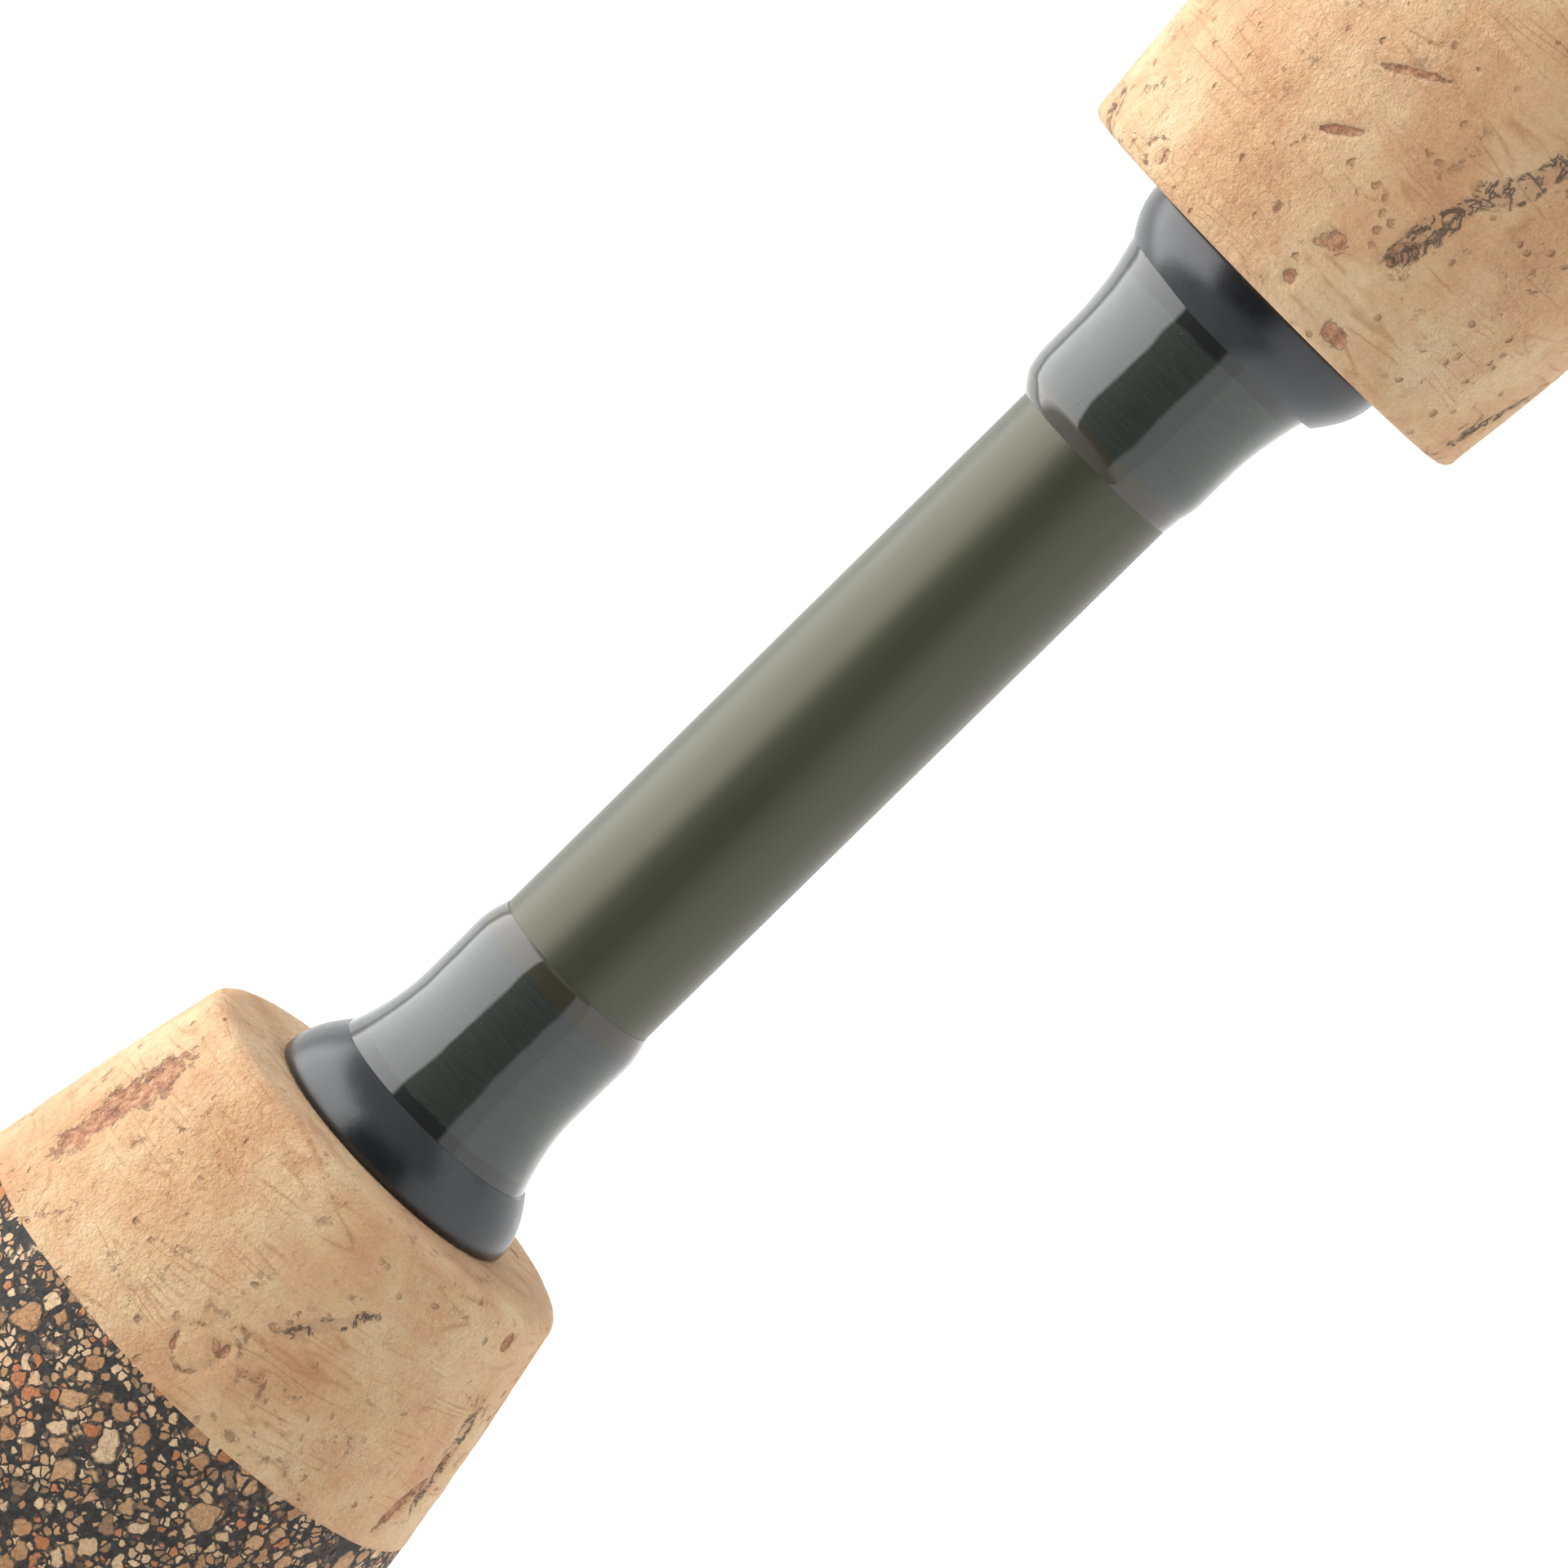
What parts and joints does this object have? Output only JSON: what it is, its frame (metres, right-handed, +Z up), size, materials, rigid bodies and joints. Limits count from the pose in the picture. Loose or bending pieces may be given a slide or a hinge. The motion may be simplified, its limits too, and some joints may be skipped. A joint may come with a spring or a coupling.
{
  "type": "fishing rod and reel",
  "caption": "Two-piece ultralight spinning rod with a split cork grip and a mounted spinning reel whose handle, rotor, bail, spool and seat nut move.",
  "frame": {"origin": "centre of the butt cap's flat rear face, on the rod's axis", "axes": "+X along the rod from butt to tip, +Z up, reel and guides below the rod at -Z, reel handle at -Y"},
  "size_m": [1.372, 0.0981, 0.1351],
  "materials": {
    "cork": "dry natural cork with pits",
    "burl": "dark rubber and cork burl",
    "butt_rubber": "moulded rubber",
    "check": "satin",
    "thread": "grey-green thread under glossy epoxy",
    "blank": "satin graphite",
    "seat": "satin graphite",
    "trim": "brushed",
    "steel": "polished",
    "ceramic": "polished ceramic",
    "reel_black": "satin paint",
    "alloy": "anodised, machined",
    "brass": "cut gear"
  },
  "bodies": {
    "rod_butt": {"butt_cap": "butt_rubber", "rear_cork": "cork", "burl_cork": "burl", "front_cork": "cork", "grip_check": "check", "grip_wrap": "thread", "butt_blank": "blank", "seat_check": "check", "seat_wrap": "thread", "seat_cork": "cork", "seat_barrel": "seat", "seat_arbor": "seat", "fixed_hood": "trim", "fore_burl": "burl", "fore_cork": "cork", "fore_check": "check", "hook_keeper": "steel", "keeper_wrap": "thread", "stripper_guide_frame": "steel", "stripper_guide_ring": "ceramic", "stripper_guide_wrap_front": "thread", "stripper_guide_wrap_rear": "thread", "reel_body": "reel_black", "side_cover": "reel_black", "cover_screw_rear": "steel", "cover_screw_front": "steel", "rear_cap": "alloy", "handle_bearing": "steel", "rotor_bearing": "steel"},
    "tip_section": {"tip_blank": "blank", "ferrule_wrap": "thread", "middle_guide_frame": "steel", "middle_guide_ring": "ceramic", "middle_guide_wrap": "thread", "fore_guide_frame": "steel", "fore_guide_ring": "ceramic", "fore_guide_wrap": "thread", "end_guide_frame": "steel", "end_guide_ring": "ceramic", "end_guide_wrap": "thread", "tip_top_frame": "steel", "tip_top_ring": "ceramic"},
    "hood_slider": {"sliding_hood": "trim"},
    "seat_nut": {"lock_nut": "trim"},
    "crank": {"drive_gear": "brass", "handle_shaft": "alloy", "handle_arm": "alloy"},
    "knob": {"handle_knob": "butt_rubber"},
    "rotor": {"rotor": "reel_black", "pinion_gear": "brass", "rotor_nut": "steel"},
    "bail": {"bail_arm": "alloy", "bail_holder": "alloy", "bail_wire": "steel"},
    "roller": {"line_roller": "steel"},
    "stroke": {"main_shaft": "steel", "oscillation_slider": "brass"},
    "spool": {"spool": "alloy"},
    "drag": {"drag_knob": "reel_black"},
    "lever": {"anti_reverse_lever": "reel_black"}
  },
  "joints": [
    {"name": "tip_pull", "type": "slide", "parent": "rod_butt", "child": "tip_section", "axis": [1, 0, 0], "range_m": [0, 0.045]},
    {"name": "hood_slide", "type": "slide", "parent": "rod_butt", "child": "hood_slider", "axis": [1, 0, 0], "range_m": [0, 0.006]},
    {"name": "nut_turn", "type": "hinge", "parent": "hood_slider", "child": "seat_nut", "pos_m": [0.252, 0, 0], "axis": [1, 0, 0], "range_deg": [0, 1440]},
    {"name": "handle_turn", "type": "hinge", "parent": "rod_butt", "child": "crank", "pos_m": [0.204, 0, -0.066], "axis": [0, 1, 0], "continuous": true},
    {"name": "knob_spin", "type": "hinge", "parent": "crank", "child": "knob", "pos_m": [0.204, -0.054, -0.112], "axis": [0, 1, 0], "continuous": true},
    {"name": "rotor_spin", "type": "hinge", "parent": "rod_butt", "child": "rotor", "pos_m": [0.236, 0, -0.058], "axis": [1, 0, 0], "continuous": true},
    {"name": "bail_flip", "type": "hinge", "parent": "rotor", "child": "bail", "pos_m": [0.258, 0, -0.058], "axis": [0, 1, 0], "range_deg": [0, 115]},
    {"name": "roller_spin", "type": "hinge", "parent": "bail", "child": "roller", "pos_m": [0.26231, 0.0283, -0.04876], "axis": [0.4226, 0, 0.9063], "continuous": true},
    {"name": "spool_stroke", "type": "slide", "parent": "rod_butt", "child": "stroke", "axis": [1, 0, 0], "range_m": [0, 0.008]},
    {"name": "spool_slip", "type": "hinge", "parent": "stroke", "child": "spool", "pos_m": [0.26, 0, -0.058], "axis": [1, 0, 0], "continuous": true},
    {"name": "drag_turn", "type": "hinge", "parent": "stroke", "child": "drag", "pos_m": [0.275, 0, -0.058], "axis": [1, 0, 0], "range_deg": [-540, 540]},
    {"name": "anti_reverse_turn", "type": "hinge", "parent": "rod_butt", "child": "lever", "pos_m": [0.204, 0, -0.088], "axis": [0, 0, 1], "range_deg": [0, 30]}
  ],
  "couplings": [
    {"joint": "hood_slide", "follows": "nut_turn", "m_per_rad": 0.00023873},
    {"joint": "rotor_spin", "follows": "handle_turn", "ratio": -5.2}
  ]
}
